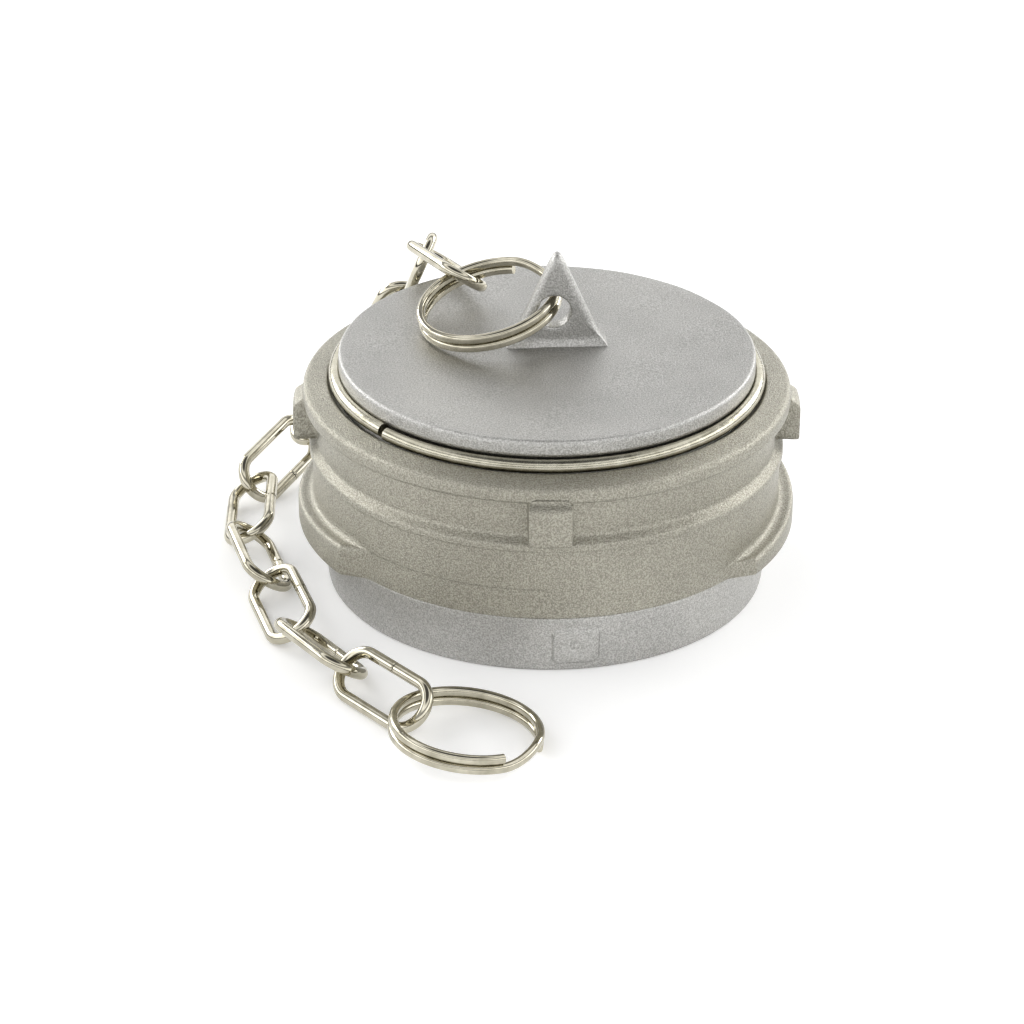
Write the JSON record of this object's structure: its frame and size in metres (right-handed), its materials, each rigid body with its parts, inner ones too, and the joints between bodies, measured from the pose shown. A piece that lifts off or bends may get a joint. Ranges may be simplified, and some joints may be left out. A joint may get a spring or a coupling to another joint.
{
  "type": "blind cap",
  "caption": "Cast blanking cap for a hose coupling, with a turning locking ring, a centre eye, and a chain with a split ring at each end.",
  "frame": {"origin": "on the cap's axis, in the plane of its mating rim", "axes": "+Z along the cap's axis, from the mating rim to the eye; -Y towards the front, where a stop lug stands; +X to the right seen from there"},
  "size_m": [0.1072, 0.1342, 0.0622],
  "materials": {
    "cast_body": "as cast, blasted",
    "cast_ring": "as cast, blasted",
    "spring_wire": "drawn wire",
    "seal_rubber": "matt",
    "nickel_steel": "nickel plated"
  },
  "bodies": {
    "cap": {"cap_body": "cast_body", "retaining_wire": "spring_wire", "face_seal": "seal_rubber"},
    "ring": {"locking_ring": "cast_ring"},
    "upper_ring": {"upper_split_ring": "nickel_steel"},
    "link_01": {"chain_link_01": "nickel_steel"},
    "link_02": {"chain_link_02": "nickel_steel"},
    "link_03": {"chain_link_03": "nickel_steel"},
    "link_04": {"chain_link_04": "nickel_steel"},
    "link_05": {"chain_link_05": "nickel_steel"},
    "link_06": {"chain_link_06": "nickel_steel"},
    "link_07": {"chain_link_07": "nickel_steel"},
    "link_08": {"chain_link_08": "nickel_steel"},
    "link_09": {"chain_link_09": "nickel_steel"},
    "link_10": {"chain_link_10": "nickel_steel"},
    "lower_ring": {"lower_split_ring": "nickel_steel"}
  },
  "joints": [
    {"name": "ring_turn", "type": "hinge", "parent": "cap", "child": "ring", "pos_m": [0, 0, 0.0254], "axis": [0, 0, 1], "continuous": true},
    {"name": "upper_ring_swing", "type": "hinge", "parent": "cap", "child": "upper_ring", "pos_m": [0.0011, 0.00296, 0.05095], "axis": [-0.0698, 0.9976, 0], "range_deg": [0, 180]},
    {"name": "link_01_swing", "type": "hinge", "parent": "upper_ring", "child": "link_01", "pos_m": [-0.01467, 0.01736, 0.05028], "axis": [-0.2229, -0.1357, 0.9654], "range_deg": [-20, 0]},
    {"name": "link_02_swing", "type": "hinge", "parent": "link_01", "child": "link_02", "pos_m": [-0.02278, 0.03441, 0.04821], "axis": [0.7748, 0.3011, -0.5559], "range_deg": [0, 49]},
    {"name": "link_03_swing", "type": "hinge", "parent": "link_02", "child": "link_03", "pos_m": [-0.02666, 0.04673, 0.03427], "axis": [-0.3379, -0.7499, -0.5687], "range_deg": [-12, 28]},
    {"name": "link_04_swing", "type": "hinge", "parent": "link_03", "child": "link_04", "pos_m": [-0.03434, 0.0501, 0.01722], "axis": [0.914, 0.1167, -0.3886], "range_deg": [-1, 34]},
    {"name": "link_05_swing", "type": "hinge", "parent": "link_04", "child": "link_05", "pos_m": [-0.04706, 0.04053, 0.00683], "axis": [-0.5693, 0.8201, -0.0584], "range_deg": [-21, 16]},
    {"name": "link_06_swing", "type": "hinge", "parent": "link_05", "child": "link_06", "pos_m": [-0.05595, 0.02396, 0.00412], "axis": [0.5725, -0.1762, -0.8007], "range_deg": [-4, 58]},
    {"name": "link_07_swing", "type": "hinge", "parent": "link_06", "child": "link_07", "pos_m": [-0.05573, 0.00498, 0.00347], "axis": [0.8662, -0.0071, 0.4997], "range_deg": [-40, 4]},
    {"name": "link_08_swing", "type": "hinge", "parent": "link_07", "child": "link_08", "pos_m": [-0.05058, -0.01331, 0.00346], "axis": [0.8072, 0.2276, -0.5446], "range_deg": [-10, 31]},
    {"name": "link_09_swing", "type": "hinge", "parent": "link_08", "child": "link_09", "pos_m": [-0.04521, -0.03154, 0.00346], "axis": [0.8045, 0.237, 0.5446], "range_deg": [-46, 10]},
    {"name": "link_10_swing", "type": "hinge", "parent": "link_09", "child": "link_10", "pos_m": [-0.03474, -0.04738, 0.00421], "axis": [0.7115, 0.4445, -0.5442], "range_deg": [-25, 37]},
    {"name": "lower_ring_swing", "type": "hinge", "parent": "link_10", "child": "lower_ring", "pos_m": [-0.02234, -0.06177, 0.00422], "axis": [0.526, 0.4537, 0.7193], "range_deg": [-16, 10]}
  ]
}
